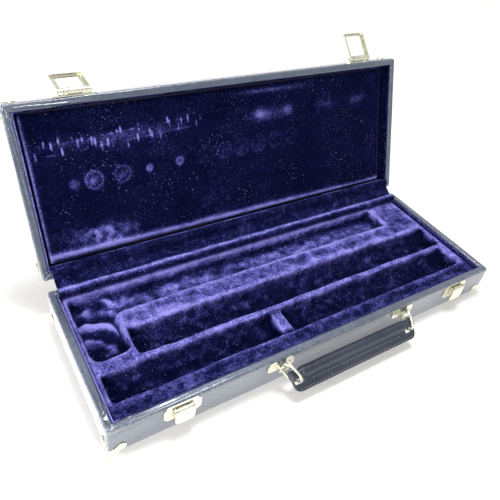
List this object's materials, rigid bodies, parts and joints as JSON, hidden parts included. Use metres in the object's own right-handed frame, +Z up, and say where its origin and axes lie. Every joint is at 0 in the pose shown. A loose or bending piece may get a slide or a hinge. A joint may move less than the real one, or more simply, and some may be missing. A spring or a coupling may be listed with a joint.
{
  "type": "flute case",
  "caption": "Hard-shell flute case, open: vinyl-covered tray and hinged lid, recessed velvet bed, padded lid, bail-and-lever latches, folding handle and metal corner guards.",
  "frame": {"origin": "centre of the tray's flat underside, on the surface it stands on", "axes": "+X along the case to the right seen from the front, +Y from the latches to the hinges, +Z up"},
  "size_m": [0.4022, 0.2569, 0.1904],
  "materials": {
    "vinyl": "satin, fine pebble grain, slightly wrinkled at the rims",
    "wood": "plain sawn poplar and plywood",
    "velvet": "crushed indigo velvet, soft sheen",
    "pulp": "pressed pulp, matt",
    "nickel": "nickel plated steel, slightly warm, satin polish",
    "steel": "plain steel pins"
  },
  "bodies": {
    "tray": {"tray_cover": "vinyl", "tray_front_board": "wood", "tray_rear_board": "wood", "tray_left_board": "wood", "tray_right_board": "wood", "tray_panel": "wood", "tray_wall_lining": "velvet", "bed_core": "pulp", "bed_plush": "velvet", "tray_guard_front_left": "nickel", "tray_guard_front_right": "nickel", "tray_guard_rear_left": "nickel", "tray_guard_rear_right": "nickel", "tray_guard_nails": "nickel", "latch_plate_left": "nickel", "latch_plate_right": "nickel", "lever_pin_left": "steel", "lever_pin_right": "steel", "latch_nails": "nickel", "bracket_left": "nickel", "bracket_right": "nickel", "bracket_nails": "nickel", "tray_hinge_leaf_left": "nickel", "tray_hinge_leaf_right": "nickel", "hinge_pin_left": "steel", "hinge_pin_right": "steel", "tray_hinge_nails": "nickel", "gusset": "velvet"},
    "lid": {"lid_cover": "vinyl", "lid_front_board": "wood", "lid_rear_board": "wood", "lid_left_board": "wood", "lid_right_board": "wood", "lid_panel": "wood", "lid_wall_lining": "velvet", "lid_pad_card": "pulp", "lid_pad": "velvet", "lid_guard_front_left": "nickel", "lid_guard_front_right": "nickel", "lid_guard_rear_left": "nickel", "lid_guard_rear_right": "nickel", "lid_guard_nails": "nickel", "bail_plate_left": "nickel", "bail_plate_right": "nickel", "bail_pin_left": "steel", "bail_pin_right": "steel", "bail_plate_nails": "nickel", "lid_hinge_leaf_left": "nickel", "lid_hinge_leaf_right": "nickel", "lid_hinge_nails": "nickel"},
    "left_bail": {"bail_left": "nickel"},
    "right_bail": {"bail_right": "nickel"},
    "left_lever": {"lever_left": "nickel"},
    "right_lever": {"lever_right": "nickel"},
    "handle_rings": {"ring_left": "nickel", "ring_right": "nickel"},
    "grip": {"grip_core": "wood", "grip_cover": "vinyl"}
  },
  "joints": [
    {"name": "lid_hinge", "type": "hinge", "parent": "tray", "child": "lid", "pos_m": [0, 0.0766, 0.02975], "axis": [1, 0, 0], "range_deg": [0, 110.7], "deforming": ["gusset"]},
    {"name": "left_bail_swing", "type": "hinge", "parent": "lid", "child": "left_bail", "pos_m": [-0.144, 0.13465, 0.17052], "axis": [1, 0, 0], "range_deg": [-13, 156.3]},
    {"name": "right_bail_swing", "type": "hinge", "parent": "lid", "child": "right_bail", "pos_m": [0.151, 0.13465, 0.17052], "axis": [1, 0, 0], "range_deg": [-55, 114.3]},
    {"name": "left_lever_swing", "type": "hinge", "parent": "tray", "child": "left_lever", "pos_m": [-0.144, -0.0751, 0.0245], "axis": [1, 0, 0], "range_deg": [-100, 0]},
    {"name": "right_lever_swing", "type": "hinge", "parent": "tray", "child": "right_lever", "pos_m": [0.151, -0.0751, 0.0245], "axis": [1, 0, 0], "range_deg": [-100, 0]},
    {"name": "handle_rings_swing", "type": "hinge", "parent": "tray", "child": "handle_rings", "pos_m": [0, -0.0797, 0.022], "axis": [1, 0, 0], "range_deg": [-60, 20]},
    {"name": "grip_swing", "type": "hinge", "parent": "handle_rings", "child": "grip", "pos_m": [0.0115, -0.08411, 0.01855], "axis": [1, 0, 0], "range_deg": [-35, 15]}
  ]
}
